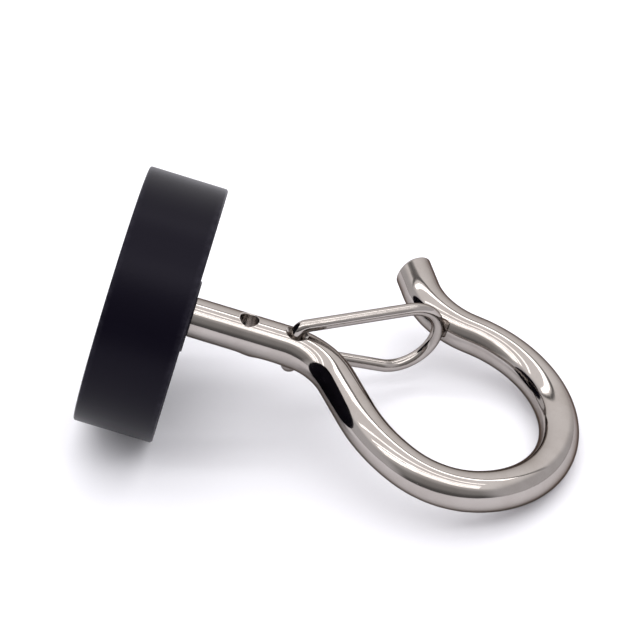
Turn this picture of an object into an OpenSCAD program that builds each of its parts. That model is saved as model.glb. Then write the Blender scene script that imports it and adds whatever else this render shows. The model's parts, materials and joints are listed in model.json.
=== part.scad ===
// Magnet fishing magnet: a steel pot with a ring magnet, bolted to a bent snap hook with a wire gate.
// All sizes are in millimetres and degrees.
//
// Each sub-part is drawn along the axis of the shank: X runs from the working face of the magnet to
// the hook, Y points to the nose side, and Z is the normal of the plane the hook is bent in.
// lying() then tilts the whole part to the way it rests on a table, on the back edge of the pot and
// the end of the crown, with +Z up. The origin stays at the centre of the working face.

/* [Magnet pot] */

// Outer diameter of the steel pot
pot_diameter = 65; // [60:0.5:70]
// Height of the pot from the working face to its back
pot_height = 20; // [16:0.5:24]
// Thickness of the wall round the magnet
pot_wall = 4; // [3:0.5:6]
// Thickness of the base the hook is bolted to
pot_base = 8; // [6:0.5:10]
// Chamfer of the back edge
pot_back_chamfer = 0.5; // [0.3:0.1:2]
// Rounding of the rim at the working face
pot_rim_round = 0.5; // [0.2:0.1:1]
// Diameter of the low boss round the bolt hole
boss_diameter = 18; // [14:0.5:24]
// Height of the low boss
boss_height = 0.4; // [0.2:0.1:1]
// Diameter of the bolt hole in the base
bolt_hole_diameter = 8.4; // [8.2:0.1:9]

/* [Ring magnet] */

// Outer diameter of the magnet
magnet_diameter = 52; // [46:0.5:56]
// Hole through the magnet
magnet_bore = 24; // [20:0.5:28]
// Rounding of the magnet's corners
magnet_round = 0.4; // [0.2:0.1:0.8]
// Inner diameter of the centre bush between the magnet and the nut
bush_bore = 18; // [17:0.5:20]
// Depth of the resin surface under the working face
resin_depth = 0.3; // [0.1:0.1:0.8]

/* [Fastening] */

// Diameter of the threaded end of the hook
thread_diameter = 7.9; // [7.7:0.05:8]
// Distance of the threaded end from the working face
thread_end_depth = 1.4; // [0.8:0.1:3]
// Chamfer of the threaded end
thread_chamfer = 0.8; // [0.4:0.1:1.2]
// Outer diameter of the washer
washer_diameter = 16; // [14:0.5:17]
// Hole in the washer
washer_bore = 8.4; // [8.2:0.1:9]
// Thickness of the washer
washer_thickness = 1.6; // [1.2:0.1:2]
// Width of the nut across its flats
nut_width = 13; // [12.5:0.1:13]
// Height of the nut with its collar
nut_height = 8; // [7.5:0.1:8.5]
// Height of the hexagon alone
nut_hexagon_height = 5.6; // [5:0.1:6.5]
// Diameter of the collar that holds the insert
nut_collar_diameter = 11.6; // [11:0.1:12.4]
// Diameter of the locking insert
insert_diameter = 10.2; // [9.5:0.1:11]
// Height of the locking insert
insert_height = 1.9; // [1.5:0.1:2.4]
// How far the lip of the collar covers the insert
nut_lip = 0.5; // [0.3:0.1:0.8]
// Diameter of the flat face left by the chamfers of the hexagon
nut_face_diameter = 12.5; // [12:0.1:12.8]
// Angle of those chamfers
nut_chamfer_angle = 30; // [15:1:30]

/* [Hook bar] */

// Diameter of the bar
bar_diameter = 10; // [9:0.1:11]
// Straight length of the shank above the back of the pot
shank_length = 25; // [20:0.5:30]
// Centre-line radius of the bend beside the gate
throat_radius = 16.5; // [14:0.5:20]
// Angle of the bend beside the gate
throat_angle = 56.5; // [50:0.5:65]
// Straight length between the throat and the bow
flank_length = 11.5; // [8:0.5:16]
// Centre-line radius where the bow begins
bow_entry_radius = 40; // [35:0.5:45]
// Angle of the part where the bow begins
bow_entry_angle = 27; // [20:0.5:32]
// Centre-line radius of the tighter part of the bow
bow_corner_radius = 21; // [18:0.5:25]
// Angle of the tighter part of the bow
bow_corner_angle = 48; // [40:0.5:55]
// Centre-line radius of the crown of the bow
crown_radius = 29; // [26:0.5:32]
// Angle of the crown of the bow
crown_angle = 154.5; // [145:0.5:160]
// Centre-line radius of the nose that flares outwards
nose_radius = 18.5; // [15:0.5:22]
// Angle of the nose bend
nose_angle = 60; // [50:0.5:75]
// Straight length at the tip of the nose
tip_length = 8.3; // [4:0.1:10]
// Angle at which the tip is cut off, shorter on the side towards the pot
tip_slant = 16; // [0:1:25]
// Chamfer at the tip
tip_chamfer = 1; // [0.4:0.1:1.5]
// Diameter of the plain cross hole in the shank
cross_hole_diameter = 4.6; // [4:0.1:5]
// Distance of the plain cross hole from the back of the pot
cross_hole_distance = 14; // [11:0.5:17]

/* [Wire gate] */

// Diameter of the gate wire
wire_diameter = 3.2; // [2.8:0.1:3.5]
// Distance of the gate's pivot from the back of the pot
pivot_distance = 26.2; // [24:0.1:28]
// Radial clearance of the wire in its pivot hole
pivot_clearance = 0.05; // [0.01:0.01:0.1]
// Diameter of the countersink at each mouth of the pivot hole
pivot_mouth_diameter = 5.9; // [5.4:0.1:6.4]
// Half of the distance between the legs at the pivot, centre to centre
leg_offset = 6.9; // [6.7:0.05:7.5]
// Distance of the end of each pin from the middle of the bar
pin_gap = 0.6; // [0.3:0.1:1.5]
// Centre-line radius of the bend between a pin and its leg
pin_bend_radius = 2.2; // [1.8:0.1:3]
// Direction of the closed gate, from the shank towards the nose
gate_angle = 31; // [28:0.1:34]
// Distance from the pivot to the far end of the gate, centre-line
gate_reach = 40.5; // [38:0.1:44]
// Angle at which each leg spreads outwards
leg_spread = 5.6; // [3:0.1:8]
// Centre-line radius of the far corners of the gate
gate_corner_radius = 9.8; // [8:0.1:10.5]
// How far along the gate the lower leg starts to step aside
step_start = 28.6; // [25:0.1:30]
// How far along the gate the knee of the lower leg sits
knee_along = 10.8; // [8:0.1:14]
// How far the knee of the lower leg is set aside, towards the nose
knee_aside = 4.4; // [2:0.1:6]
// Centre-line radius of the gentle bends of the lower leg
step_radius = 8; // [6:0.5:12]

/* [Hidden] */

pot_colour = [0.11, 0.10, 0.14];
magnet_colour = [0.78, 0.78, 0.76];
resin_colour = [0.12, 0.12, 0.13];
bush_colour = [0.22, 0.22, 0.24];
zinc_colour = [0.66, 0.67, 0.68];
insert_colour = [0.85, 0.86, 0.90];
steel_colour = [0.70, 0.69, 0.66];

// Gap between neighbours that are pressed or bonded together, and how far a cutter runs past a face
fit_gap = 0.05;
overshoot = 1;
// Every second stretch of the bar and of the wire has a smaller radius by the step, and reaches
// into the stretches on its two sides, so that they join into one solid without touching surfaces
bar_step = 0.05;
bar_reach = 0.8;
wire_step = 0.01;
wire_reach = 0.15;

pot_radius = pot_diameter / 2;
cavity_depth = pot_height - pot_base;
cavity_diameter = pot_diameter - 2 * pot_wall;
bar_radius = bar_diameter / 2;
wire_radius = wire_diameter / 2;

// The bends of the bar from the pot outwards, each with the straight that leads into it. A positive
// angle turns towards the nose side.
bar_straights = [shank_length, flank_length, 0, 0, 0];
bar_radii = [throat_radius, bow_entry_radius, bow_corner_radius, crown_radius, nose_radius];
bar_angles = [-throat_angle, bow_entry_angle, bow_corner_angle, crown_angle, -nose_angle];
bend_count = len(bar_radii);
crown = 3;

// Points on the plane of the hook are [along the shank from the working face, towards the nose side]
function forward(heading) = [cos(heading), sin(heading)];
function left(heading) = [-sin(heading), cos(heading)];
function heading_into(i) = i == 0 ? 0 : heading_into(i - 1) + bar_angles[i - 1];
function straight_start(i) = i == 0 ? [pot_height, 0] : bend_end(i - 1);
function bend_start(i) = straight_start(i) + bar_straights[i] * forward(heading_into(i));
function bend_centre(i) = bend_start(i) + sign(bar_angles[i]) * bar_radii[i] * left(heading_into(i));
function bend_end(i) = bend_centre(i) - sign(bar_angles[i]) * bar_radii[i] * left(heading_into(i + 1));

// At rest the outer edge of the pot's chamfer and the end of the crown are at one height
rest_along = bend_centre(crown)[0] + crown_radius - pot_height + pot_back_chamfer;
rest_tilt = atan2(pot_radius, rest_along) - asin(bar_radius / norm([rest_along, pot_radius]));

module lying() {
    rotate([0, rest_tilt, 0]) children();
}

// Points its children's Z along the shank, at a distance from the working face
module on_axis(distance) {
    translate([distance, 0, 0]) rotate([0, 90, 0]) children();
}

module ring(outer, inner, height) {
    difference() {
        cylinder(d = outer, h = height, $fn = 96);
        translate([0, 0, -overshoot]) cylinder(d = inner, h = height + 2 * overshoot, $fn = 96);
    }
}

// ---- Pot ----

// Half of the pot's section: distance from the axis, height above the working face
module pot_section() {
    rim_centre = [pot_radius - pot_rim_round, pot_rim_round];
    difference() {
        union() {
            polygon([
                [0, pot_rim_round],
                [pot_radius, pot_rim_round],
                [pot_radius, pot_height - pot_back_chamfer],
                [pot_radius - pot_back_chamfer, pot_height],
                [0, pot_height]
            ]);
            square([rim_centre[0], pot_base]);
            translate(rim_centre) circle(r = pot_rim_round, $fn = 32);
            translate([0, pot_height - overshoot]) square([boss_diameter / 2, boss_height + overshoot]);
        }
        translate([0, -overshoot]) square([cavity_diameter / 2, cavity_depth + overshoot]);
        square([bolt_hole_diameter / 2, pot_height + boss_height + overshoot]);
    }
}

module pot() {
    color(pot_colour) lying() on_axis(0) rotate_extrude($fn = 128) pot_section();
}

// ---- Magnet and what holds it ----

module ring_magnet() {
    width = (magnet_diameter - magnet_bore) / 2 - 2 * magnet_round;
    height = cavity_depth - 2 * magnet_round;
    color(magnet_colour) lying() on_axis(magnet_round)
        rotate_extrude($fn = 96) translate([magnet_bore / 2 + magnet_round, 0]) {
            translate([-magnet_round, 0]) square([width + 2 * magnet_round, height]);
            translate([0, -magnet_round]) square([width, cavity_depth]);
            for (x = [0, width], y = [0, height]) {
                translate([x, y]) circle(r = magnet_round, $fn = 24);
            }
        }
}

module resin_ring() {
    color(resin_colour) lying() on_axis(resin_depth)
        ring(cavity_diameter - 2 * fit_gap, magnet_diameter + 2 * fit_gap, cavity_depth - resin_depth);
}

module centre_bush() {
    color(bush_colour) lying() on_axis(resin_depth)
        ring(magnet_bore - 2 * fit_gap, bush_bore, cavity_depth - resin_depth);
}

// ---- Fastening ----

washer_place = cavity_depth - washer_thickness;
nut_place = washer_place - nut_height;
collar_height = nut_height - nut_hexagon_height;
insert_place = nut_place + collar_height - insert_height;

module washer() {
    color(zinc_colour) lying() on_axis(washer_place) ring(washer_diameter, washer_bore, washer_thickness);
}

// The hexagon bears on the washer, and the collar with the insert points to the working face
module nut() {
    color(zinc_colour) lying() difference() {
        union() {
            on_axis(nut_place + collar_height) intersection() {
                cylinder(d = nut_width / cos(30), h = nut_hexagon_height, $fn = 6);
                nut_chamfers();
            }
            on_axis(nut_place) cylinder(d = nut_collar_diameter, h = collar_height + overshoot, $fn = 96);
        }
        on_axis(nut_place - overshoot)
            cylinder(d = thread_diameter + 2 * fit_gap, h = nut_height + 2 * overshoot, $fn = 64);
        on_axis(insert_place)
            cylinder(d = insert_diameter + 2 * fit_gap, h = insert_height, $fn = 64);
        on_axis(nut_place - overshoot)
            cylinder(d = insert_diameter - 2 * nut_lip, h = collar_height, $fn = 64);
    }
}

// The turned body whose cones cut the corners off both ends of the hexagon
module nut_chamfers() {
    face_radius = nut_face_diameter / 2;
    run = nut_width - face_radius;
    rise = run * tan(nut_chamfer_angle);
    rotate_extrude($fn = 96) polygon([
        [0, 0],
        [face_radius, 0],
        [face_radius + run, rise],
        [face_radius + run, nut_hexagon_height - rise],
        [face_radius, nut_hexagon_height],
        [0, nut_hexagon_height]
    ]);
}

module nut_insert() {
    color(insert_colour) lying() on_axis(insert_place)
        ring(insert_diameter, thread_diameter + 2 * fit_gap, insert_height);
}

// ---- Hook ----

module bar_straight(start, heading, length, radius = bar_radius) {
    translate([start[0], start[1], 0]) rotate([0, 90, heading]) cylinder(r = radius, h = length, $fn = 48);
}

// A thinner straight that reaches into the bend before it, if it has one, and into the bend after it
module bar_link(start, heading, length, reach_back) {
    bar_straight(start - reach_back * forward(heading), heading, length + reach_back + bar_reach,
        bar_radius - bar_step);
}

// A bend, with its ends carried on by the angle extra
module bar_bend(i, radius = bar_radius, extra = 0) {
    centre = bend_centre(i);
    first_heading = bar_angles[i] > 0 ? heading_into(i) - 90 : heading_into(i + 1) + 90;
    translate([centre[0], centre[1], 0]) rotate([0, 0, first_heading - extra])
        rotate_extrude(angle = abs(bar_angles[i]) + 2 * extra, $fn = 96)
            translate([bar_radii[i], 0]) circle(r = radius, $fn = 48);
}

module bar_bend_link(i) {
    bar_bend(i, bar_radius - bar_step, bar_reach / bar_radii[i] * 180 / PI);
}

// The tip is cut by a slanted plane, and a cone square to that plane takes off the edge
module bar_tip() {
    rim = bar_radius / cos(tip_slant) - tip_chamfer;
    intersection() {
        cylinder(r = bar_radius, h = 2 * tip_length, $fn = 48);
        translate([0, 0, tip_length]) rotate([-tip_slant, 0, 0]) rotate_extrude($fn = 48) polygon([
            [0, -2 * tip_length],
            [rim + bar_radius, -2 * tip_length],
            [rim + bar_radius, -bar_radius],
            [rim, 0],
            [0, 0]
        ]);
    }
}

module bar() {
    root = pot_height + boss_height;
    tip_heading = heading_into(bend_count);
    tip_start = bend_end(bend_count - 1);
    bar_link([root, 0], 0, bend_start(0)[0] - root, 0);
    bar_bend(0);
    bar_link(straight_start(1), heading_into(1), flank_length, bar_reach);
    bar_bend(1);
    bar_bend_link(2);
    bar_bend(crown);
    bar_bend_link(4);
    translate([tip_start[0], tip_start[1], 0]) rotate([0, 90, tip_heading]) bar_tip();
}

module threaded_end() {
    length = pot_height + boss_height - thread_end_depth;
    end_diameter = thread_diameter - 2 * thread_chamfer;
    on_axis(thread_end_depth) {
        cylinder(d1 = end_diameter, d2 = thread_diameter, h = thread_chamfer, $fn = 64);
        translate([0, 0, thread_chamfer])
            cylinder(d = thread_diameter, h = length - thread_chamfer, $fn = 64);
    }
}

// A through hole with a countersunk mouth on each side, in which the wire of the gate bends over
module pivot_hole() {
    hole_radius = wire_radius + pivot_clearance;
    mouth_radius = pivot_mouth_diameter / 2;
    mouth_depth = mouth_radius - hole_radius;
    translate([pot_height + pivot_distance, 0, 0]) {
        translate([0, 0, -bar_diameter]) cylinder(r = hole_radius, h = 2 * bar_diameter, $fn = 48);
        for (side = [0, 1]) mirror([0, 0, side]) translate([0, 0, bar_radius - mouth_depth]) {
            cylinder(r1 = hole_radius, r2 = mouth_radius + overshoot, h = mouth_depth + overshoot, $fn = 48);
        }
    }
}

module cross_hole() {
    translate([pot_height + cross_hole_distance, 0, -bar_diameter])
        cylinder(d = cross_hole_diameter, h = 2 * bar_diameter, $fn = 48);
}

module hook() {
    color(steel_colour) lying() difference() {
        union() {
            bar();
            threaded_end();
        }
        cross_hole();
        pivot_hole();
    }
}

// ---- Wire gate ----

// Corners of the wire in the gate's own frame: X along the closed gate, Y aside to the nose side,
// Z along the pivot. The lower leg steps aside near its pin.
function spread_at(along) = leg_offset + along * tan(leg_spread);
gate_corners = [
    [0, 0, pin_gap],
    [0, 0, leg_offset],
    [gate_reach, 0, spread_at(gate_reach)],
    [gate_reach, 0, -spread_at(gate_reach)],
    [step_start, 0, -spread_at(step_start)],
    [knee_along, knee_aside, -spread_at(knee_along)],
    [0, 0, -leg_offset],
    [0, 0, -pin_gap]
];
gate_radii = [
    0, pin_bend_radius, gate_corner_radius, gate_corner_radius,
    step_radius, step_radius, pin_bend_radius, 0
];

last_corner = len(gate_corners) - 1;

function unit(v) = v / norm(v);
// The rotation that points Z along v
function aim(v) = [0, acos(v[2] / norm(v)), atan2(v[1], v[0])];
function towards(i, j) = unit(gate_corners[j] - gate_corners[i]);
// How far the wire turns at corner i, and how far before and after the corner its arc reaches
function turn_at(i) = 180 - acos(towards(i, i - 1) * towards(i, i + 1));
function setback(i) = gate_radii[i] == 0 ? 0 : gate_radii[i] * tan(turn_at(i) / 2);

module wire_straight(i) {
    start = gate_corners[i] + setback(i) * towards(i, i + 1);
    end = gate_corners[i + 1] + setback(i + 1) * towards(i + 1, i);
    reach_back = i == 0 ? 0 : wire_reach;
    reach_on = i == last_corner - 1 ? 0 : wire_reach;
    translate(start) rotate(aim(end - start)) translate([0, 0, -reach_back])
        cylinder(r = wire_radius - wire_step, h = norm(end - start) + reach_back + reach_on, $fn = 32);
}

module wire_corner(i) {
    back = towards(i, i - 1);
    ahead = towards(i, i + 1);
    normal = unit(cross(back, ahead));
    centre = gate_corners[i] + unit(back + ahead) * gate_radii[i] / cos(turn_at(i) / 2);
    spoke = gate_corners[i] + setback(i) * ahead - centre;
    lean = aim(normal);
    flat_x = [cos(lean[1]) * cos(lean[2]), cos(lean[1]) * sin(lean[2]), -sin(lean[1])];
    flat_y = [-sin(lean[2]), cos(lean[2]), 0];
    translate(centre) rotate(lean) rotate([0, 0, atan2(spoke * flat_y, spoke * flat_x)])
        rotate_extrude(angle = turn_at(i), $fn = 96)
            translate([gate_radii[i], 0]) circle(r = wire_radius, $fn = 32);
}

module wire_gate() {
    color(steel_colour) lying() translate([pot_height + pivot_distance, 0, 0]) rotate([0, 0, gate_angle]) {
        for (i = [0 : last_corner - 1]) wire_straight(i);
        for (i = [1 : last_corner - 1]) wire_corner(i);
    }
}

pot();
ring_magnet();
resin_ring();
centre_bush();
washer();
nut();
nut_insert();
hook();
wire_gate();
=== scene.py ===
import json
import math

import bmesh
import bpy
import numpy as np
from mathutils import Matrix, Vector, kdtree, noise


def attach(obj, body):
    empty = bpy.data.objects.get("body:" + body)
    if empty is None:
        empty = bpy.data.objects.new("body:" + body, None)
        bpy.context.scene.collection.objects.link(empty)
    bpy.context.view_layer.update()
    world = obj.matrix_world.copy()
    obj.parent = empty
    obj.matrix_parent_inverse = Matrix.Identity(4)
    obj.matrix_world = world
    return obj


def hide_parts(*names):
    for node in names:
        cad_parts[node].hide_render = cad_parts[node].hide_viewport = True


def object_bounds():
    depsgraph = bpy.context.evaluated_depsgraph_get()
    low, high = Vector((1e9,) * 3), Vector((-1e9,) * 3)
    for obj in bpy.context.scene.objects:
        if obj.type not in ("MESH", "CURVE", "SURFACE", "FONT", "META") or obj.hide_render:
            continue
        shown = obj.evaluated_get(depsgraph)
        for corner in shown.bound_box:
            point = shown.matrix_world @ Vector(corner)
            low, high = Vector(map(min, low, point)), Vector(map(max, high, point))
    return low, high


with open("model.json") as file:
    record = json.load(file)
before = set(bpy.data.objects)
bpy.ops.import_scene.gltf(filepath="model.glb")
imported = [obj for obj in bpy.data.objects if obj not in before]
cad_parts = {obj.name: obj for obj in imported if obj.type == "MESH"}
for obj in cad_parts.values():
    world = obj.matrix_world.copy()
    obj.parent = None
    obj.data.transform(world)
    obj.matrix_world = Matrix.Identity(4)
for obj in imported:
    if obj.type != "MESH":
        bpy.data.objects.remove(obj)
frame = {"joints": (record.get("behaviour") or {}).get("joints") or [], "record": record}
cad_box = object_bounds()

# The looks of the magnet fishing magnet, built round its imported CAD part.
# Shapes are made in millimetres in the part's own directions: x from the working face along the
# shank, y to the nose side, z along the normal of the plane the hook is bent in. place() turns them
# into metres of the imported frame.

# ---- Directions of the part, from the record ----

face_mount = next(m for m in frame["record"]["mounts"] if m["name"] == "magnet_face")
hinge = frame["joints"][0]
ALONG = -Vector(face_mount["axis"]).normalized()
NORMAL = -Vector(hinge["axis"]).normalized()
ASIDE = NORMAL.cross(ALONG)
AXES = np.array([ALONG, ASIDE, NORMAL])
MM = 0.001
BODY = "magnet_and_hook"
GATE_BODY = "gate"

# ---- Sizes of the part in millimetres and degrees ----

# Places along the shank are measured from the working face
POT_RADIUS = 32.5
POT_HEIGHT = 20.0
POT_BASE = 8.0
POT_WALL = 4.0
POT_CHAMFER = 0.5
CAVITY_DEPTH = POT_HEIGHT - POT_BASE
CAVITY_RADIUS = POT_RADIUS - POT_WALL
BOLT_HOLE_RADIUS = 4.2
BOSS_RADIUS = 9.0
BOSS_HEIGHT = 0.4
SHOULDER = POT_HEIGHT + BOSS_HEIGHT
MAGNET_RADIUS = 26.0
MAGNET_BORE_RADIUS = 12.0
BUSH_BORE_RADIUS = 9.0
RESIN_DEPTH = 0.3
FIT = 0.05
# Width of the stretch beside an edge of the pot where its coating is painted lighter, as rubbed wear and as
# a painted edge highlight
RUB_AND_HIGHLIGHT_WIDTH = 1.4
# How much higher the resin stands at its edges, and how far its surface ripples
RESIN_RISE = 0.16
RESIN_RIPPLE = 0.10
RESIN_RIPPLES_PER_MM = 0.22
RESIN_POINTS = 13

THREAD_RADIUS = 3.95
THREAD_PITCH = 1.25
THREAD_DEPTH = 0.62
THREAD_END = 1.4
THREAD_CHAMFER = 0.8
THREAD_STEPS = 12
# How fast the groove deepens over half a pitch, in shares of its depth, and what the flat crest
# takes off that
GROOVE_RISE = 1.25
GROOVE_CREST = 0.12
WASHER_RADIUS = 8.0
WASHER_THICKNESS = 1.6
# The lock nut has a hexagon, and a round collar that holds the insert under its lip
NUT_WIDTH = 13.0
NUT_HEIGHT = 8.0
NUT_HEXAGON = 5.6
NUT_COLLAR_RADIUS = 5.8
INSERT_RADIUS = 5.1
INSERT_HEIGHT = 1.9
NUT_LIP = 0.5
NUT_FACE_RADIUS = 6.24
NUT_CHAMFER_ANGLE = 30.0
COLLAR_CHAMFER_WIDTH = 0.35
COLLAR_CHAMFER_LENGTH = 0.5
NUT_EDGE = 0.12
WASHER_PLACE = CAVITY_DEPTH - WASHER_THICKNESS
NUT_PLACE = WASHER_PLACE - NUT_HEIGHT
COLLAR = NUT_HEIGHT - NUT_HEXAGON

BAR_RADIUS = 5.0
# Each bend of the bar: the straight before it, its centre-line radius and its angle
BENDS = [
    (25.0, 16.5, -56.5), (11.5, 40.0, 27.0), (0.0, 21.0, 48.0), (0.0, 29.0, 154.5), (0.0, 18.5, -60.0),
]
# The straight end of the bar, and the slant of the cut at its tip
TIP_LENGTH = 8.3
TIP_SLANT = 16.0
TIP_CHAMFER = 1.0
# Places and radii of the two holes in the shank. The pivot's has a countersunk mouth on each side
CROSS_HOLE = POT_HEIGHT + 14.0
CROSS_HOLE_RADIUS = 2.3
PIVOT = POT_HEIGHT + 26.2
PIVOT_RADIUS = 1.65
PIVOT_MOUTH_RADIUS = 2.95

WIRE_RADIUS = 1.6
# Direction of the closed gate, from the shank towards the nose
GATE_ANGLE = 31.0
# Distance from the pivot to the far end of the gate
GATE_REACH = 40.5
# Distance of each leg from the middle of the bar at the pivot, and the angle it spreads at
LEG_OFFSET = 6.9
LEG_SPREAD = 5.6
# Distance of the end of each pin from the middle of the bar
PIN_GAP = 0.6
# Radii of the bend between a pin and its leg, and of the gate's far corners
PIN_BEND = 2.2
GATE_CORNER = 9.8
# The lower leg steps aside: where that starts along the gate, the knee's place along it and aside,
# and the radius of both bends
STEP_START = 28.6
KNEE = (10.8, 4.4)
STEP_BEND = 8.0


def place(points):
    """Points in the part's own directions, in millimetres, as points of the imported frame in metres."""
    return np.asarray(points, float) @ AXES * MM


# ---- Meshes ----

def new_object(name, points, faces, material, body, replaces):
    """A mesh from points in the part's own directions. Without a body it is only a helper."""
    mesh = bpy.data.meshes.new(name)
    mesh.from_pydata(place(points).tolist(), [], faces)
    mesh.validate()
    mesh.shade_smooth()
    obj = bpy.data.objects.new(name, mesh)
    bpy.context.scene.collection.objects.link(obj)
    mesh.materials.append(material)
    if body:
        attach(obj, body)
        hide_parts(*replaces)
    return obj


def point_data(obj, name, vectors):
    """Stores one vector for each point of the mesh, for the material's textures."""
    data = obj.data.attributes.new(name, "FLOAT_VECTOR", "POINT")
    data.data.foreach_set("vector", np.asarray(vectors, np.float32).ravel())


def apply_modifiers(obj):
    graph = bpy.context.evaluated_depsgraph_get()
    result = bpy.data.meshes.new_from_object(obj.evaluated_get(graph), depsgraph=graph)
    obj.modifiers.clear()
    obj.data = result


def bevel(obj, width):
    """Rounds the edges that turn by more than 30 degrees."""
    modifier = obj.modifiers.new("bevel", "BEVEL")
    modifier.width = width * MM
    modifier.segments = 2
    modifier.limit_method = "ANGLE"
    modifier.angle_limit = math.radians(30)
    modifier.harden_normals = True
    apply_modifiers(obj)


ARC_STEPS = 6


def rounded(corners):
    """A closed outline of (x, y, radius) corners, with an arc of that radius at each corner."""
    outline = []
    count = len(corners)
    for i, (x, y, radius) in enumerate(corners):
        corner = Vector((x, y))
        back = (Vector(corners[i - 1][:2]) - corner).normalized()
        ahead = (Vector(corners[(i + 1) % count][:2]) - corner).normalized()
        if radius == 0:
            outline.append((x, y))
            continue
        half = math.acos(max(-1.0, min(1.0, back.dot(ahead)))) / 2
        centre = corner + (back + ahead).normalized() * radius / math.sin(half)
        first = corner + back * radius / math.tan(half) - centre
        last = corner + ahead * radius / math.tan(half) - centre
        sweep = first.angle_signed(last)
        for step in range(ARC_STEPS + 1):
            spoke = first.copy()
            spoke.rotate(Matrix.Rotation(-sweep * step / ARC_STEPS, 2))
            outline.append(tuple(centre + spoke))
    return outline


def revolved(name, outlines, material, replaces):
    """Skins closed outlines that stand round the shank's axis, each at the next angle.

    An outline holds (distance from the axis, distance from the working face) points.
    """
    around, count = len(outlines), len(outlines[0])
    points, faces = [], []
    for k, outline in enumerate(outlines):
        angle = 2 * math.pi * k / around
        points += [(x, r * math.cos(angle), r * math.sin(angle)) for r, x in outline]
        here, there = k * count, (k + 1) % around * count
        for i in range(count):
            n = (i + 1) % count
            faces.append((here + i, here + n, there + n, there + i))
    obj = new_object(name, points, faces, material, BODY, replaces)
    outward(obj)
    return obj


def turned(name, outline, material, replaces, segments=160):
    """Turns one closed outline about the shank's axis."""
    return revolved(name, [outline] * segments, material, replaces)


def outward(obj):
    """Turns every face outwards."""
    bm = bmesh.new()
    bm.from_mesh(obj.data)
    bmesh.ops.recalc_face_normals(bm, faces=bm.faces)
    bm.to_mesh(obj.data)
    bm.free()


def tube(name, rings, material, body, replaces):
    """A skin over rings of points, closed by a fan at both ends. rings is (count, around, 3)."""
    count, around, _ = rings.shape
    points = rings.reshape(-1, 3).tolist()
    points += [rings[0].mean(0).tolist(), rings[-1].mean(0).tolist()]
    start, end = count * around, count * around + 1
    faces = []
    for i in range(count - 1):
        for k in range(around):
            n = (k + 1) % around
            faces.append((i * around + k, i * around + n, (i + 1) * around + n, (i + 1) * around + k))
    last = (count - 1) * around
    for k in range(around):
        n = (k + 1) % around
        faces.append((start, n, k))
        faces.append((end, last + k, last + n))
    obj = new_object(name, points, faces, material, body, replaces)
    outward(obj)
    return obj


# ---- Node materials ----

# Scale that turns texture coordinates from metres into millimetres
IN_MM = (1000.0, 1000.0, 1000.0)


class Nodes:
    """Short calls for building one node material."""

    def __init__(self, name):
        self.material = bpy.data.materials.new(name)
        self.material.use_nodes = True
        self.tree = self.material.node_tree
        self.shader = self.tree.nodes["Principled BSDF"]

    def add(self, kind, **settings):
        node = self.tree.nodes.new(kind)
        for key, value in settings.items():
            setattr(node, key, value)
        return node

    def link(self, output, target):
        self.tree.links.new(output, target)

    def set(self, **values):
        """Sets uniform values on the shader's own sockets. Underscores stand for spaces."""
        for key, value in values.items():
            self.shader.inputs[key.replace("_", " ")].default_value = value

    def object_space(self, scale):
        where = self.add("ShaderNodeTexCoord").outputs["Object"]
        return self.scaled(where, scale)

    def stored(self, name, scale):
        where = self.add("ShaderNodeAttribute", attribute_name=name).outputs["Vector"]
        return self.scaled(where, scale)

    def scaled(self, vector, scale):
        mapping = self.add("ShaderNodeMapping")
        mapping.inputs["Scale"].default_value = scale
        self.link(vector, mapping.inputs["Vector"])
        return mapping.outputs["Vector"]

    def noise(self, vector, scale, detail=4.0, roughness=0.55):
        node = self.add("ShaderNodeTexNoise")
        node.inputs["Scale"].default_value = scale
        node.inputs["Detail"].default_value = detail
        node.inputs["Roughness"].default_value = roughness
        self.link(vector, node.inputs["Vector"])
        return node.outputs["Fac"]

    def cells(self, vector, scale):
        node = self.add("ShaderNodeTexVoronoi")
        node.inputs["Scale"].default_value = scale
        self.link(vector, node.inputs["Vector"])
        return node.outputs["Distance"]

    def remap(self, value, low, high, to_low, to_high):
        node = self.add("ShaderNodeMapRange")
        for socket, number in zip(node.inputs[1:5], (low, high, to_low, to_high)):
            socket.default_value = number
        self.link(value, node.inputs["Value"])
        return node.outputs["Result"]

    def blend(self, factor, first, second):
        """A colour between two colours, each a tuple or an output."""
        node = self.add("ShaderNodeMix", data_type="RGBA")
        self.link(factor, node.inputs["Factor"])
        for socket, colour in zip((node.inputs[6], node.inputs[7]), (first, second)):
            if isinstance(colour, tuple):
                socket.default_value = (*colour, 1.0)
            else:
                self.link(colour, socket)
        return node.outputs[2]

    def combine(self, operation, first, second):
        node = self.add("ShaderNodeMath", operation=operation)
        for socket, value in zip(node.inputs, (first, second)):
            if isinstance(value, (int, float)):
                socket.default_value = value
            else:
                self.link(value, socket)
        return node.outputs[0]

    def bump(self, height, distance, strength=1.0, below=None):
        """A bump of that many millimetres, on top of the bump below it."""
        node = self.add("ShaderNodeBump")
        node.inputs["Strength"].default_value = strength
        node.inputs["Distance"].default_value = distance * MM
        self.link(height, node.inputs["Height"])
        if below is not None:
            self.link(below, node.inputs["Normal"])
        return node.outputs["Normal"]

    def wire(self, **outputs):
        """Links outputs to the shader's sockets. Underscores stand for spaces."""
        for key, output in outputs.items():
            self.link(output, self.shader.inputs[key.replace("_", " ")])
        return self.material


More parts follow.
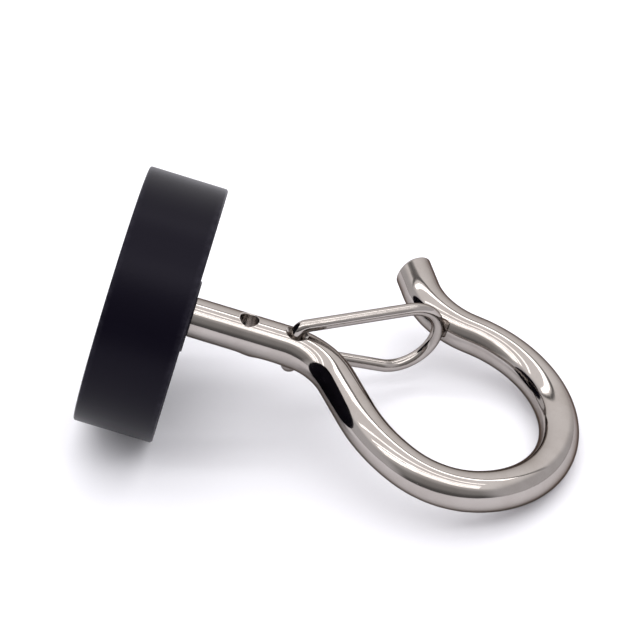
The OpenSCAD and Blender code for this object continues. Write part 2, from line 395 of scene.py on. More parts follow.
def polished_steel(name, lines=1.0):
    """Drawn and polished steel: long faint draw lines, slight waves and a few small nicks.

    The more lines, the finer the draw lines and the waves.
    """
    m = Nodes(name)
    m.set(Metallic=1.0, Specular_Tint=(0.14, 0.12, 0.11, 1.0), IOR=1.5)
    drawn = m.noise(m.stored("straight", (1000.0, 1000.0, 22.0)), 3.2 * lines, 3.0, 0.6)
    fine = m.noise(m.stored("straight", (1000.0, 1000.0, 60.0)), 9.0 * lines, 2.0, 0.5)
    waves = m.noise(m.stored("straight", (1000.0, 1000.0, 420.0)), 0.16 * lines, 2.0, 0.4)
    stains = m.noise(m.stored("straight", IN_MM), 0.11, 5.0, 0.6)
    nicks = m.cells(m.stored("straight", (1000.0, 1000.0, 700.0)), 0.32)
    nick_depth = m.remap(nicks, 0.015, 0.05, 0.0, 1.0)
    colour = m.blend(m.remap(stains, 0.40, 0.72, 0.0, 1.0), (0.385, 0.356, 0.337), (0.335, 0.304, 0.284))
    rough = m.combine("ADD", m.remap(drawn, 0.3, 0.75, 0.045, 0.085), m.remap(stains, 0.45, 0.8, 0.0, 0.06))
    normal = m.bump(waves, 0.050)
    normal = m.bump(drawn, 0.0022, below=normal)
    normal = m.bump(fine, 0.0008, below=normal)
    normal = m.bump(nick_depth, 0.010, below=normal)
    return m.wire(Base_Color=colour, Roughness=rough, Normal=normal)


def drilled_steel():
    """The walls of the drilled holes: rougher and darker than the skin, with fine turning lines."""
    m = Nodes("drilled_steel")
    m.set(Metallic=1.0, IOR=1.5)
    where = m.object_space(IN_MM)
    turning = m.noise(m.stored("straight", (1500.0, 90.0, 90.0)), 2.0, 3.0, 0.5)
    cloud = m.noise(where, 0.9, 4.0, 0.6)
    colour = m.blend(m.remap(cloud, 0.3, 0.7, 0.0, 1.0), (0.440, 0.405, 0.380), (0.560, 0.520, 0.490))
    rough = m.remap(turning, 0.3, 0.7, 0.20, 0.28)
    return m.wire(Base_Color=colour, Roughness=rough, Normal=m.bump(turning, 0.01))


def pot_coating():
    """Satin black coating over the turned pot: fine orange peel, dust, and edges painted lighter, as rubbed
    wear and as a painted edge highlight.
    """
    m = Nodes("pot_coating")
    m.set(IOR=1.45, Specular_IOR_Level=0.125, Specular_Tint=(0.88, 0.84, 1.0, 1.0))
    where = m.object_space(IN_MM)
    peel = m.noise(where, 3.4, 2.0, 0.5)
    cloud = m.noise(where, 0.07, 4.0, 0.6)
    speck = m.cells(where, 0.75)
    edge = m.add("ShaderNodeAttribute", attribute_name="edge").outputs["Fac"]
    # Lighter colour along the pot's edges, broken up by noise: partly rubbed wear, partly a painted edge
    # highlight
    rub_and_highlight = m.combine("MULTIPLY", edge, m.remap(m.noise(where, 0.55, 6.0, 0.65), 0.42, 0.66, 0.25, 1.0))
    base = m.blend(m.remap(cloud, 0.35, 0.7, 0.0, 1.0), (0.0018, 0.0012, 0.0044), (0.0021, 0.0015, 0.0050))
    dusty = m.blend(m.remap(speck, 0.03, 0.06, 0.22, 0.0), base, (0.016, 0.015, 0.020))
    colour = m.blend(rub_and_highlight, dusty, (0.030, 0.028, 0.038))
    rough = m.combine("ADD", m.remap(cloud, 0.3, 0.75, 0.34, 0.37), m.remap(peel, 0.3, 0.7, -0.01, 0.01))
    normal = m.bump(peel, 0.002)
    normal = m.bump(cloud, 0.015, below=normal)
    return m.wire(Base_Color=colour, Roughness=rough, Normal=normal)


def magnet_plating():
    """Nickel plating with handling scratches and a light bloom."""
    m = Nodes("magnet_plating")
    m.set(Metallic=1.0, IOR=1.5)
    where = m.object_space(IN_MM)
    bloom = m.noise(where, 0.09, 5.0, 0.6)
    one_way = m.noise(m.object_space((1000.0, 2600.0, 60.0)), 2.0, 2.0, 0.5)
    other_way = m.noise(m.object_space((1000.0, 90.0, 2900.0)), 2.0, 2.0, 0.5)
    one_way = m.remap(one_way, 0.68, 0.74, 0.0, 1.0)
    other_way = m.remap(other_way, 0.70, 0.76, 0.0, 1.0)
    scratches = m.combine("MAXIMUM", one_way, other_way)
    colour = m.blend(m.remap(bloom, 0.35, 0.7, 0.0, 1.0), (0.66, 0.63, 0.57), (0.53, 0.50, 0.45))
    rough = m.combine("ADD", m.remap(bloom, 0.3, 0.7, 0.20, 0.34), m.remap(scratches, 0.0, 1.0, 0.0, 0.12))
    normal = m.bump(m.noise(where, 3.0, 3.0, 0.5), 0.004)
    normal = m.bump(scratches, -0.006, below=normal)
    return m.wire(Base_Color=colour, Roughness=rough, Normal=normal)


def cast_resin():
    """Black casting resin with a few pinholes."""
    m = Nodes("cast_resin")
    m.set(IOR=1.54)
    where = m.object_space(IN_MM)
    flow = m.noise(where, 0.25, 4.0, 0.5)
    pin = m.cells(where, 0.6)
    colour = m.blend(flow, (0.010, 0.010, 0.011), (0.024, 0.024, 0.026))
    normal = m.bump(flow, 0.09)
    normal = m.bump(m.remap(pin, 0.05, 0.11, 0.0, 1.0), 0.05, below=normal)
    return m.wire(Base_Color=colour, Roughness=m.remap(flow, 0.3, 0.7, 0.16, 0.34), Normal=normal)


def bush_plastic():
    """Dark moulded plastic."""
    m = Nodes("bush_plastic")
    m.set(IOR=1.49)
    where = m.object_space(IN_MM)
    grain = m.noise(where, 4.0, 4.0, 0.6)
    cloud = m.noise(where, 0.15, 3.0, 0.5)
    colour = m.blend(cloud, (0.020, 0.021, 0.024), (0.042, 0.043, 0.048))
    rough = m.remap(grain, 0.3, 0.7, 0.42, 0.60)
    return m.wire(Base_Color=colour, Roughness=rough, Normal=m.bump(grain, 0.015))


def zinc_steel():
    """Bright zinc plating, slightly cloudy and blue."""
    m = Nodes("zinc_steel")
    m.set(Metallic=1.0, IOR=1.5)
    where = m.object_space(IN_MM)
    cloud = m.noise(where, 0.30, 5.0, 0.6)
    grain = m.noise(where, 5.0, 3.0, 0.5)
    colour = m.blend(m.remap(cloud, 0.35, 0.7, 0.0, 1.0), (0.60, 0.62, 0.66), (0.47, 0.47, 0.46))
    rough = m.combine("ADD", m.remap(cloud, 0.3, 0.7, 0.24, 0.36), m.remap(grain, 0.3, 0.7, -0.03, 0.05))
    return m.wire(Base_Color=colour, Roughness=rough, Normal=m.bump(grain, 0.006))


def nylon():
    """White nylon, slightly translucent."""
    m = Nodes("nylon")
    m.set(IOR=1.53, Subsurface_Weight=0.25, Subsurface_Scale=0.001, Subsurface_Radius=(1.0, 1.0, 1.0))
    where = m.object_space(IN_MM)
    grain = m.noise(where, 2.4, 4.0, 0.6)
    colour = m.blend(grain, (0.66, 0.69, 0.76), (0.80, 0.82, 0.85))
    rough = m.remap(grain, 0.3, 0.7, 0.36, 0.50)
    return m.wire(Base_Color=colour, Roughness=rough, Normal=m.bump(grain, 0.01))


def paper_floor():
    """White background paper."""
    m = Nodes("paper_floor")
    m.set(IOR=1.3)
    grain = m.noise(m.object_space(IN_MM), 0.9, 4.0, 0.6)
    colour = m.blend(grain, (0.885, 0.885, 0.925), (0.905, 0.905, 0.945))
    rough = m.remap(grain, 0.3, 0.7, 0.85, 0.95)
    return m.wire(Base_Color=colour, Roughness=rough, Normal=m.bump(grain, 0.004))


# ---- Pot ----

POT_SEGMENTS = 256


def build_pot():
    """The corners of radius 0 end the stretches whose coating is painted lighter, as rubbed wear and a
    painted edge highlight, so that the faces between them stay clean.
    """
    back = POT_HEIGHT
    outline = rounded([
        (BOLT_HOLE_RADIUS, CAVITY_DEPTH, 0.15),
        (BOLT_HOLE_RADIUS, back + BOSS_HEIGHT, 0.15),
        (BOSS_RADIUS, back + BOSS_HEIGHT, 0.15),
        (BOSS_RADIUS, back, 0.2),
        (BOSS_RADIUS + RUB_AND_HIGHLIGHT_WIDTH, back, 0.0),
        (POT_RADIUS - POT_CHAMFER - RUB_AND_HIGHLIGHT_WIDTH, back, 0.0),
        (POT_RADIUS - POT_CHAMFER, back, 0.2),
        (POT_RADIUS, back - POT_CHAMFER, 0.2),
        (POT_RADIUS, back - POT_CHAMFER - RUB_AND_HIGHLIGHT_WIDTH, 0.0),
        (POT_RADIUS, RUB_AND_HIGHLIGHT_WIDTH, 0.0),
        (POT_RADIUS, 0.0, 0.5),
        (POT_RADIUS - RUB_AND_HIGHLIGHT_WIDTH, 0.0, 0.0),
        (CAVITY_RADIUS + RUB_AND_HIGHLIGHT_WIDTH, 0.0, 0.0),
        (CAVITY_RADIUS, 0.0, 0.25),
        (CAVITY_RADIUS, CAVITY_DEPTH, 0.6),
    ])
    obj = turned("pot_shell", outline, pot_coating(), ["pot"], POT_SEGMENTS)
    # Each edge painted lighter, as rubbed wear and a painted highlight: its distance from the axis, from
    # the working face, and how far the lightening reaches
    edges = [
        (POT_RADIUS - POT_CHAMFER / 2, back - POT_CHAMFER / 2, 0.5), (POT_RADIUS, 0.0, 0.5),
        (CAVITY_RADIUS, 0.0, 0.3), (BOSS_RADIUS, back, 0.3),
    ]
    # Weights of the lighter edges, which are partly rubbed wear and partly a painted edge highlight
    rub_and_highlight_weights = []
    for r, x in outline:
        rub_and_highlight_weights.append(max(math.exp(-(math.hypot(r - er, x - ex) / reach) ** 2) for er, ex, reach in edges))
    data = obj.data.attributes.new("edge", "FLOAT", "POINT")
    data.data.foreach_set("value", np.tile(np.array(rub_and_highlight_weights, np.float32), POT_SEGMENTS))


# ---- Magnet and what holds it ----

def build_magnet():
    outline = rounded([
        (MAGNET_BORE_RADIUS, 0.0, 0.4), (MAGNET_RADIUS, 0.0, 0.4),
        (MAGNET_RADIUS, CAVITY_DEPTH, 0.4), (MAGNET_BORE_RADIUS, CAVITY_DEPTH, 0.4),
    ])
    turned("magnet_ring", outline, magnet_plating(), ["ring_magnet"])


def build_resin():
    """The resin stands a little higher where it wets the pot and the magnet."""
    inner, outer = MAGNET_RADIUS + FIT, CAVITY_RADIUS - FIT
    surface = []
    for t in np.linspace(1.0, 0.0, RESIN_POINTS):
        rise = RESIN_RISE * (2 * t - 1) ** 4
        surface.append((inner + t * (outer - inner), RESIN_DEPTH - rise))
    outline = [(inner, CAVITY_DEPTH), (outer, CAVITY_DEPTH)] + surface
    obj = turned("resin_fill", outline, cast_resin(), ["resin_ring"], segments=192)
    for v in obj.data.vertices:
        depth = v.co.dot(ALONG) / MM
        if depth < CAVITY_DEPTH / 2:
            v.co += ALONG * MM * RESIN_RIPPLE * noise.noise(v.co / MM * RESIN_RIPPLES_PER_MM)


def build_bush():
    outline = rounded([
        (BUSH_BORE_RADIUS, RESIN_DEPTH, 0.6), (MAGNET_BORE_RADIUS - FIT, RESIN_DEPTH, 0.2),
        (MAGNET_BORE_RADIUS - FIT, CAVITY_DEPTH, 0.1), (BUSH_BORE_RADIUS, CAVITY_DEPTH, 0.1),
    ])
    turned("centre_sleeve", outline, bush_plastic(), ["centre_bush"])


# ---- Fastening ----

NUT_SEGMENTS = 192


def build_washer(zinc):
    outline = rounded([
        (BOLT_HOLE_RADIUS, WASHER_PLACE, 0.15), (WASHER_RADIUS, WASHER_PLACE, 0.4),
        (WASHER_RADIUS, CAVITY_DEPTH, 0.1), (BOLT_HOLE_RADIUS, CAVITY_DEPTH, 0.1),
    ])
    turned("flat_washer", outline, zinc, ["washer"])


def build_nut(zinc):
    """The outline of the nut changes with the angle, because its hexagon does."""
    bore = THREAD_RADIUS + FIT
    seat = INSERT_RADIUS + FIT
    lip = INSERT_RADIUS - NUT_LIP
    hexagon_start = NUT_PLACE + COLLAR
    insert_start = hexagon_start - INSERT_HEIGHT
    outlines = []
    for angle in np.linspace(0, 2 * math.pi, NUT_SEGMENTS, endpoint=False):
        turn = (angle + math.pi / 6) % (math.pi / 3) - math.pi / 6
        flat = NUT_WIDTH / 2 / math.cos(turn)
        slope = max(0.0, flat - NUT_FACE_RADIUS) * math.tan(math.radians(NUT_CHAMFER_ANGLE))
        outlines.append([
            (bore, WASHER_PLACE), (NUT_FACE_RADIUS, WASHER_PLACE), (flat, WASHER_PLACE - slope),
            (flat, hexagon_start + slope), (NUT_FACE_RADIUS, hexagon_start),
            (NUT_COLLAR_RADIUS, hexagon_start), (NUT_COLLAR_RADIUS, NUT_PLACE + COLLAR_CHAMFER_LENGTH),
            (NUT_COLLAR_RADIUS - COLLAR_CHAMFER_WIDTH, NUT_PLACE), (lip, NUT_PLACE),
            (lip, insert_start), (seat, insert_start), (seat, hexagon_start), (bore, hexagon_start),
        ])
    obj = revolved("lock_nut", outlines, zinc, ["nut"])
    bevel(obj, NUT_EDGE)


def build_insert():
    start = NUT_PLACE + COLLAR - INSERT_HEIGHT
    outline = rounded([
        (THREAD_RADIUS + FIT, start, 0.3), (INSERT_RADIUS, start, 0.15),
        (INSERT_RADIUS, start + INSERT_HEIGHT, 0.1), (THREAD_RADIUS + FIT, start + INSERT_HEIGHT, 0.1),
    ])
    turned("nut_collar_insert", outline, nylon(), ["nut_insert"], segments=96)


# ---- Hook ----

CENTRE_STEP = 0.1
# Length over which each bend of the bar runs into the next
BLEND_LENGTH = 5.0
BAR_SEGMENTS = 96
SHOULDER_CHAMFER = 0.15
# Rings of the skin: how far behind the shoulder they start, and their spacing
FIRST_RING = 0.4
RING_STEP = 0.5
TIP_RINGS = 16
TIP_FACE_RADII = (3.0, 1.5)
HOLE_SEGMENTS = 64
HOLE_ROUND = 0.4
HOLE_TURNS = [22.0, 45.0, 67.0, 90.0]
# How far the cross hole's cutter stands past the bar's skin, and how much wider it is there
CUTTER_REACH = 3.0
CUTTER_FLARE = 0.12
# How far the pivot's cones run on past the bar's skin, and the eased foot of a cone: how much wider
# it is than the hole, and how far outside the cone's own start
CONE_REACH = 1.5
CONE_FOOT = [(0.15, 0.15), (0.03, -0.05), (0.0, -0.25)]
# A ring that holds a rounded edge in shape stands this far from it
EDGE_GAP = 0.05
# A point belongs to the plain skin within this distance of it, if its faces point the same way as
# the skin to within this cosine
SKIN_TOLERANCE = 0.004
SKIN_COSINE = 0.9
# The plain skin ends this far before the tip's chamfer
TIP_MARGIN = 0.3
# Faces that turn by less than this, in degrees, are shaded as one surface away from the plain skin
SMOOTH_ANGLE = 40.0
# Slight swellings under the shank, from drilling its holes: place, height and reach
SWELLINGS = [(36.4, 0.60, 2.3), (46.5, 0.28, 2.4)]


def centre_line():
    """Distances along the bar, with its points and headings. The bends run into each other softly."""
    lengths, curvatures = [], []
    for straight, radius, angle in BENDS:
        lengths += [straight, radius * abs(math.radians(angle))]
        curvatures += [0.0, math.copysign(1 / radius, angle)]
    lengths.append(TIP_LENGTH)
    curvatures.append(0.0)
    ends = np.cumsum(lengths)
    s = np.arange(-BLEND_LENGTH, ends[-1] + BLEND_LENGTH, CENTRE_STEP)
    curvature = np.array(curvatures)[np.clip(np.searchsorted(ends, s), 0, len(lengths) - 1)]
    kernel = np.hanning(int(BLEND_LENGTH / CENTRE_STEP) | 1)
    soft = np.convolve(curvature, kernel / kernel.sum(), mode="same")
    heading = np.concatenate([[0.0], np.cumsum((soft[1:] + soft[:-1]) / 2 * CENTRE_STEP)])
    step_x = np.cos((heading[1:] + heading[:-1]) / 2) * CENTRE_STEP
    step_y = np.sin((heading[1:] + heading[:-1]) / 2) * CENTRE_STEP
    x = np.concatenate([[0.0], np.cumsum(step_x)])
    y = np.concatenate([[0.0], np.cumsum(step_y)])
    start = np.argmin(np.abs(s))
    return s + POT_HEIGHT, x - x[start] + POT_HEIGHT, y - y[start], heading, ends[-1] + POT_HEIGHT


LINE_S, LINE_X, LINE_Y, LINE_HEADING, BAR_END = centre_line()


def on_line(s):
    """Centre-line points and the directions across them in the plane of the hook."""
    x = np.interp(s, LINE_S, LINE_X)
    y = np.interp(s, LINE_S, LINE_Y)
    heading = np.interp(s, LINE_S, LINE_HEADING)
    return np.stack([x, y, 0 * x], -1), np.stack([-np.sin(heading), np.cos(heading), 0 * x], -1)


def bar_surface(s, angle, radius=None):
    """Points on the skin of the bar. The angle runs from the nose side towards the normal."""
    s, angle = np.broadcast_arrays(s, angle)
    centre, across = on_line(s)
    if radius is None:
        radius = np.full(s.shape, BAR_RADIUS)
        under = np.clip(-np.sin(angle), 0, 1) ** 3
        for at, height, reach in SWELLINGS:
            radius = radius + height * np.exp(-((s - at) / reach) ** 2) * under
    up = np.array([0.0, 0.0, 1.0])
    return centre + radius[..., None] * (np.cos(angle)[..., None] * across + np.sin(angle)[..., None] * up)


def bar_normal(s, angle):
    """The normal of the bar's skin, from two short steps on it."""
    small = 1e-3
    least = 1e-12
    along = bar_surface(s + small, angle) - bar_surface(s - small, angle)
    round_it = bar_surface(s, angle + small) - bar_surface(s, angle - small)
    normal = np.cross(round_it, along)
    return normal / np.maximum(np.linalg.norm(normal, axis=-1, keepdims=True), least)


def thread_rings(angles):
    """The threaded end, from its chamfered point to the shoulder that sits on the boss."""
    s = np.arange(THREAD_END, SHOULDER, THREAD_PITCH / THREAD_STEPS)
    phase = (s[:, None] / THREAD_PITCH - angles[None, :] / (2 * math.pi)) % 1.0
    groove = np.clip(GROOVE_RISE * (1 - np.abs(2 * phase - 1)) - GROOVE_CREST, 0, 1)
    crest = np.minimum(THREAD_RADIUS, THREAD_RADIUS - THREAD_CHAMFER + (s - THREAD_END))[:, None]
    radius = np.minimum(crest, THREAD_RADIUS - THREAD_DEPTH * groove)
    points = np.zeros((*radius.shape, 3))
    points[..., 0] = s[:, None]
    points[..., 1] = radius * np.cos(angles)
    points[..., 2] = radius * np.sin(angles)
    return points


def slanted(depth, radius, angles):
    """A ring of that radius, at a depth under the slanted plane that the tip is cut by."""
    along = TIP_LENGTH - depth - radius * np.cos(angles) * math.tan(math.radians(TIP_SLANT))
    return bar_surface(BAR_END - TIP_LENGTH + along, angles, np.full(angles.shape, radius))


def tip_rings(angles):
    """The slanted tip, with both edges of its chamfer rounded."""
    corner = rounded([
        (TIP_LENGTH, 0.0, 0.0), (TIP_LENGTH, BAR_RADIUS, 0.0), (TIP_CHAMFER, BAR_RADIUS, 0.5),
        (0.0, BAR_RADIUS - TIP_CHAMFER, 0.4), (0.0, 0.0, 0.0),
    ])[2:-1]
    edge = slanted(corner[0][0] + EDGE_GAP, BAR_RADIUS, angles)
    first = bar_surface(BAR_END - TIP_LENGTH, angles, np.full(angles.shape, BAR_RADIUS))
    rings = [first + (edge - first) * share for share in np.linspace(0, 1, TIP_RINGS)]
    rings += [slanted(depth, radius, angles) for depth, radius in corner]
    rings += [slanted(0.0, radius, angles) for radius in TIP_FACE_RADII]
    return np.array(rings)


def cross_cutter(angles):
    """A round hole through the bar, whose mouth is rounded along the curved skin."""
    outer = CROSS_HOLE_RADIUS + HOLE_ROUND
    profile = [(outer + CUTTER_FLARE, CUTTER_REACH), (outer + CUTTER_FLARE, EDGE_GAP)]
    for turn in np.radians(HOLE_TURNS):
        profile.append((outer - HOLE_ROUND * math.sin(turn), -HOLE_ROUND * (1 - math.cos(turn))))
    rings = []
    for side in (1, -1):
        half = []
        for r, rise in profile:
            skin = np.sqrt(BAR_RADIUS ** 2 - (r * np.sin(angles)) ** 2) if rise < 1 else BAR_RADIUS
            half.append(np.stack([
                CROSS_HOLE + r * np.cos(angles), r * np.sin(angles), side * (skin + rise + 0 * angles),
            ], -1))
        rings += half if side == 1 else half[::-1]
    return np.array(rings)


def pivot_cutter(angles):
    """A hole with a countersunk mouth on each side. The foot of the countersink is eased."""
    cone_start = BAR_RADIUS - (PIVOT_MOUTH_RADIUS - PIVOT_RADIUS)
    profile = [(PIVOT_MOUTH_RADIUS + CONE_REACH, BAR_RADIUS + CONE_REACH)]
    profile += [(PIVOT_RADIUS + wider, cone_start + outside) for wider, outside in CONE_FOOT]
    sides = profile + [(r, -z) for r, z in profile[::-1]]
    rings = [
        np.stack([PIVOT + r * np.cos(angles), r * np.sin(angles), z + 0 * angles], -1) for r, z in sides
    ]
    return np.array(rings)


def straightened(obj):
    """For every point of the hook: its place along the bar, its angle and its place on a straight bar."""
    tree = kdtree.KDTree(len(LINE_S))
    for i, (x, y) in enumerate(zip(LINE_X, LINE_Y)):
        tree.insert((x, y, 0.0), i)
    tree.balance()
    own = np.array([v.co for v in obj.data.vertices]) @ AXES.T / MM
    s = np.empty(len(own))
    for i, (x, y, _) in enumerate(own):
        nearest = tree.find((x, y, 0.0))[1]
        heading = LINE_HEADING[nearest]
        s[i] = LINE_S[nearest]
        s[i] += (x - LINE_X[nearest]) * math.cos(heading) + (y - LINE_Y[nearest]) * math.sin(heading)
    in_pot = (own[:, 0] < POT_HEIGHT) & (np.abs(own[:, 1]) < BAR_RADIUS + 1)
    s = np.where(in_pot, own[:, 0], s)
    centre, across = on_line(s)
    offset = own - centre
    angle = np.arctan2(offset[:, 2], (offset * across).sum(-1))
    radius = np.hypot(offset[:, 2], (offset * across).sum(-1))
    return own, s, angle, np.stack([radius * np.cos(angle), radius * np.sin(angle), s], -1) * MM


def smooth_hook(obj):
    """Gives the bar's skin its exact normals, so that cutting the holes leaves no marks in its gloss."""
    own, s, angle, straight = straightened(obj)
    point_data(obj, "straight", straight)
    on_skin = np.linalg.norm(own - bar_surface(s, angle), axis=-1) < SKIN_TOLERANCE
    cut = BAR_END - BAR_RADIUS * np.cos(angle) * math.tan(math.radians(TIP_SLANT))
    on_skin &= (s > SHOULDER + SHOULDER_CHAMFER + 0.05) & (s < cut - TIP_CHAMFER - TIP_MARGIN)
    exact = bar_normal(s, angle) @ AXES
    mesh = obj.data
    mesh.shade_smooth()
    bm = bmesh.new()
    bm.from_mesh(mesh)
    bm.normal_update()
    bm.verts.ensure_lookup_table()
    cosine = math.cos(math.radians(SMOOTH_ANGLE))
    normals = []
    for face in bm.faces:
        skin_face = all(
            on_skin[v.index] and face.normal.dot(Vector(exact[v.index])) > SKIN_COSINE for v in face.verts
        )
        for v in face.verts:
            if skin_face:
                normals.append(exact[v.index])
                continue
            total = Vector()
            for other in v.link_faces:
                if other.normal.dot(face.normal) > cosine:
                    total += other.normal * other.calc_area()
            normals.append(total.normalized())
    bm.free()
    mesh.normals_split_custom_set([tuple(n) for n in normals])


def build_hook():
    angles = np.linspace(0, 2 * math.pi, BAR_SEGMENTS, endpoint=False)
    collar = np.array([
        bar_surface(SHOULDER, angles, np.full(angles.shape, BAR_RADIUS - SHOULDER_CHAMFER)),
        bar_surface(SHOULDER + SHOULDER_CHAMFER, angles, np.full(angles.shape, BAR_RADIUS)),
    ])
    stations = np.arange(SHOULDER + FIRST_RING, BAR_END - TIP_LENGTH, RING_STEP)
    skin = bar_surface(stations[:, None], angles[None, :])
    rings = np.concatenate([thread_rings(angles), collar, skin, tip_rings(angles)])
    obj = tube("hook_bar", rings, polished_steel("polished_steel"), BODY, ["hook"])
    fine = np.linspace(0, 2 * math.pi, HOLE_SEGMENTS, endpoint=False)
    drilled = drilled_steel()
    for cutter_rings in (cross_cutter(fine), pivot_cutter(fine)):
        cutter = tube("cutter", cutter_rings, drilled, None, None)
        cut = obj.modifiers.new("hole", "BOOLEAN")
        cut.object = cutter
        cut.solver = "EXACT"
        cut.material_mode = "TRANSFER"
        apply_modifiers(obj)
        bpy.data.objects.remove(cutter)
    smooth_hook(obj)


# ---- Wire gate ----

WIRE_SEGMENTS = 48
WIRE_STEP = 0.3
CORNER_POINTS = 33
WIRE_DRAW_LINES = 1.8


def gate_route():
    """The centre-line of the wire in the gate's own directions, with round corners, evenly spaced."""
    def spread(along):
        return LEG_OFFSET + along * math.tan(math.radians(LEG_SPREAD))

    corners = [
        ((0, 0, PIN_GAP), 0),
        ((0, 0, LEG_OFFSET), PIN_BEND),
        ((GATE_REACH, 0, spread(GATE_REACH)), GATE_CORNER),
        ((GATE_REACH, 0, -spread(GATE_REACH)), GATE_CORNER),
        ((STEP_START, 0, -spread(STEP_START)), STEP_BEND),
        ((*KNEE, -spread(KNEE[0])), STEP_BEND),
        ((0, 0, -LEG_OFFSET), PIN_BEND),
        ((0, 0, -PIN_GAP), 0),
    ]
    route = []
    for i, (corner, radius) in enumerate(corners):
        corner = Vector(corner)
        if radius == 0:
            route.append(corner)
            continue
        back = (Vector(corners[i - 1][0]) - corner).normalized()
        ahead = (Vector(corners[i + 1][0]) - corner).normalized()
        half = back.angle(ahead) / 2
        centre = corner + (back + ahead).normalized() * radius / math.sin(half)
        first = corner + back * radius / math.tan(half) - centre
        last = corner + ahead * radius / math.tan(half) - centre
        route += [centre + arc(first, last, t) for t in np.linspace(0, 1, CORNER_POINTS)]
    points = np.array(route)
    reach = np.concatenate([[0.0], np.cumsum(np.linalg.norm(np.diff(points, axis=0), axis=1))])
    even = np.linspace(0, reach[-1], int(reach[-1] / WIRE_STEP))
    return np.stack([np.interp(even, reach, points[:, k]) for k in range(3)], -1), even


def arc(first, last, t):
    """The spoke a share t of the way from the first spoke of an arc to its last."""
    angle = first.angle(last)
    return (first * math.sin((1 - t) * angle) + last * math.sin(t * angle)) / math.sin(angle)


def build_gate():
    route, reach = gate_route()
    turn = math.radians(GATE_ANGLE)
    along = np.array([math.cos(turn), math.sin(turn), 0.0])
    aside = np.array([-math.sin(turn), math.cos(turn), 0.0])
    centre = route[:, :1] * along + route[:, 1:2] * aside + route[:, 2:] * np.array([0.0, 0.0, 1.0])
    centre[:, 0] += PIVOT
    tangent = np.gradient(centre, axis=0)
    tangent /= np.linalg.norm(tangent, axis=1, keepdims=True)
    across = np.cross(tangent[0], along)
    angles = np.linspace(0, 2 * math.pi, WIRE_SEGMENTS, endpoint=False)
    rings, straight = [], []
    for point, heading, distance in zip(centre, tangent, reach):
        across = across - heading * across.dot(heading)
        across /= np.linalg.norm(across)
        third = np.cross(heading, across)
        circle = np.cos(angles)[:, None] * across + np.sin(angles)[:, None] * third
        rings.append(point + WIRE_RADIUS * circle)
        for angle in angles:
            x, y = WIRE_RADIUS * math.cos(angle), WIRE_RADIUS * math.sin(angle)
            straight.append((x * MM, y * MM, distance * MM))
    steel = polished_steel("polished_wire", WIRE_DRAW_LINES)
    obj = tube("gate_wire", np.array(rings), steel, GATE_BODY, ["wire_gate"])
    point_data(obj, "straight", straight + [straight[0], straight[-1]])


zinc = zinc_steel()
build_pot()
build_magnet()
build_resin()
build_bush()
build_washer(zinc)
build_nut(zinc)
build_insert()
build_hook()
build_gate()

# ---- Floor, light and camera ----

# Azimuth that the light is arranged round, in degrees
FRONT = 9.0
# Long soft lights over the part: elevation of the middle from the front over the top to the
# back, the angle that each covers, and its brightness
STRIPS = [(59.5, 3.0, 2.9), (66.5, 5.0, 3.6), (74.5, 3.0, 3.0), (90.0, 3.5, 2.5), (117.0, 6.5, 3.6)]
# In metres
STRIP_LENGTH = 1.7
# Brightness of the room from the front over the top to the back, at each angle
ROOM = [(0, 0.16), (12, 0.18), (24, 0.40), (42, 0.50), (56, 0.95), (64, 1.45), (121.5, 1.45),
        (123.0, 0.22), (125.5, 0.22), (127.5, 1.40), (180, 1.20)]
ROOM_TINT = (1.0, 0.985, 0.99)
SIDE_COLOUR = (0.84, 0.83, 0.86)
SIDE_TOP_COLOUR = (1.40, 1.39, 1.40)
# Where the sides of the room fade in, by how far a direction points sideways, and where they turn
# to the colour of their top, by how far it points up
SIDE_FADE = (0.60, 0.85)
SIDE_TOP_FADE = (0.55, 0.75)
PAPER_COLOUR = (0.96, 0.96, 0.97, 1.0)
# In metres: the floor lies this far under the lowest point, and is this large
FLOOR_DROP = 0.00002
FLOOR_RADIUS = 3.0
centre_of_part = (cad_box[0] + cad_box[1]) / 2


def build_floor():
    mesh = bpy.data.meshes.new("floor")
    bm = bmesh.new()
    bmesh.ops.create_circle(bm, cap_ends=True, radius=FLOOR_RADIUS, segments=96)
    bm.to_mesh(mesh)
    bm.free()
    floor = bpy.data.objects.new("floor", mesh)
    floor.location = (centre_of_part.x, centre_of_part.y, cad_box[0].z - FLOOR_DROP)
    mesh.materials.append(paper_floor())
    bpy.context.scene.collection.objects.link(floor)


def direction(azimuth, elevation):
    """The direction of a place seen from the part. Azimuth 0 is the front, 90 the right."""
    a, e = math.radians(azimuth), math.radians(elevation)
    return Vector((math.sin(a) * math.cos(e), -math.cos(a) * math.cos(e), math.sin(e)))


def build_strips():
    """Long soft lights over the part, each a metre away and facing it."""
    for elevation, angle, brightness in STRIPS:
        light = bpy.data.lights.new("strip", "AREA")
        light.shape = "RECTANGLE"
        light.size = STRIP_LENGTH
        light.size_y = 2 * math.tan(math.radians(angle / 2))
        light.energy = brightness * math.pi * light.size * light.size_y
        obj = bpy.data.objects.new("strip", light)
        bpy.context.scene.collection.objects.link(obj)
        towards = direction(FRONT, elevation)
        level = direction(FRONT + 90, 0.0)
        turn = Matrix((level, towards.cross(level), towards)).transposed()
        obj.matrix_world = Matrix.Translation(centre_of_part + towards) @ turn.to_4x4()


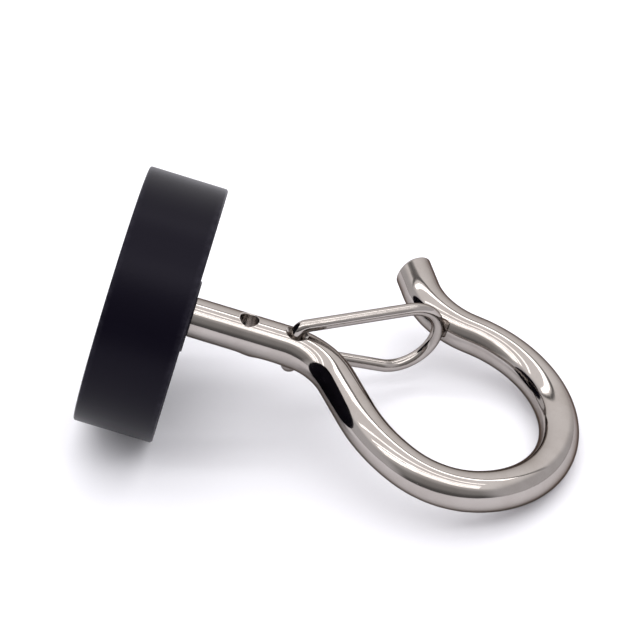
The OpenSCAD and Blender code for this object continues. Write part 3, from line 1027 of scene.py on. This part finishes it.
def build_world():
    """A pale room, dark in front low down and in one thin line behind. The camera sees plain paper."""
    world = bpy.data.worlds.new("studio")
    bpy.context.scene.world = world
    world.use_nodes = True
    tree = world.node_tree
    tree.nodes.clear()

    def add(kind, *inputs, **settings):
        node = tree.nodes.new(kind)
        for key, value in settings.items():
            setattr(node, key, value)
        for socket, value in zip(node.inputs, inputs):
            if isinstance(value, bpy.types.NodeSocket):
                tree.links.new(value, socket)
            else:
                socket.default_value = value
        return node

    def mixed(factor, first, second):
        node = add("ShaderNodeMix", factor, data_type="RGBA")
        for socket, colour in zip((node.inputs[6], node.inputs[7]), (first, second)):
            if isinstance(colour, bpy.types.NodeSocket):
                tree.links.new(colour, socket)
            else:
                socket.default_value = (*colour, 1.0)
        return node.outputs[2]

    def step(value, low, high):
        node = add("ShaderNodeMapRange", value, low, high, interpolation_type="SMOOTHSTEP")
        return node.outputs["Result"]

    def share(axis):
        return add("ShaderNodeVectorMath", where, axis, operation="DOT_PRODUCT").outputs["Value"]

    where = add("ShaderNodeTexCoord").outputs["Generated"]
    height = share((0.0, 0.0, 1.0))
    ahead = share(direction(FRONT, 0.0))
    aside = share(direction(FRONT + 90, 0.0))
    turn = add("ShaderNodeMath", height, ahead, operation="ARCTAN2").outputs[0]
    half_turn = add("ShaderNodeMath", turn, math.pi, operation="DIVIDE").outputs[0]
    over = add("ShaderNodeValToRGB", half_turn)
    for i, (angle, brightness) in enumerate(ROOM):
        stop = over.color_ramp.elements[i] if i < 2 else over.color_ramp.elements.new(angle / 180)
        stop.position = angle / 180
        stop.color = (*[brightness * tint for tint in ROOM_TINT], 1.0)
    side = mixed(step(height, *SIDE_TOP_FADE), SIDE_COLOUR, SIDE_TOP_COLOUR)
    sideways = add("ShaderNodeMath", aside, operation="ABSOLUTE").outputs[0]
    room = add("ShaderNodeBackground", mixed(step(sideways, *SIDE_FADE), over.outputs["Color"], side))
    paper = add("ShaderNodeBackground", PAPER_COLOUR)
    camera_sees = add("ShaderNodeLightPath").outputs["Is Camera Ray"]
    mix = add("ShaderNodeMixShader", camera_sees, room.outputs["Background"], paper.outputs["Background"])
    add("ShaderNodeOutputWorld", mix.outputs["Shader"])


# Fitted to the photo's outlines: the point in the middle of the view and the camera's distance from
# it, in metres, and the angles in degrees
AIM = Vector((0.05232, -0.00488, 0.00086))
AZIMUTH = 9.294
ELEVATION = 39.279
ROLL = -1.129
DISTANCE = 0.5782
LENS = 135
SENSOR = 36
NEAREST = 0.01
FARTHEST = 20


def build_camera():
    data = bpy.data.cameras.new("camera")
    data.lens = LENS
    data.sensor_width = SENSOR
    data.clip_start = NEAREST
    data.clip_end = FARTHEST
    camera = bpy.data.objects.new("camera", data)
    bpy.context.scene.collection.objects.link(camera)
    back = direction(AZIMUTH, ELEVATION)
    level = back.to_track_quat("Z", "Y").to_matrix()
    roll = Matrix.Rotation(math.radians(ROLL), 4, "Z")
    camera.matrix_world = Matrix.Translation(AIM + back * DISTANCE) @ level.to_4x4() @ roll
    bpy.context.scene.camera = camera


build_floor()
build_world()
build_strips()
build_camera()
bpy.context.scene.view_settings.view_transform = "Standard"
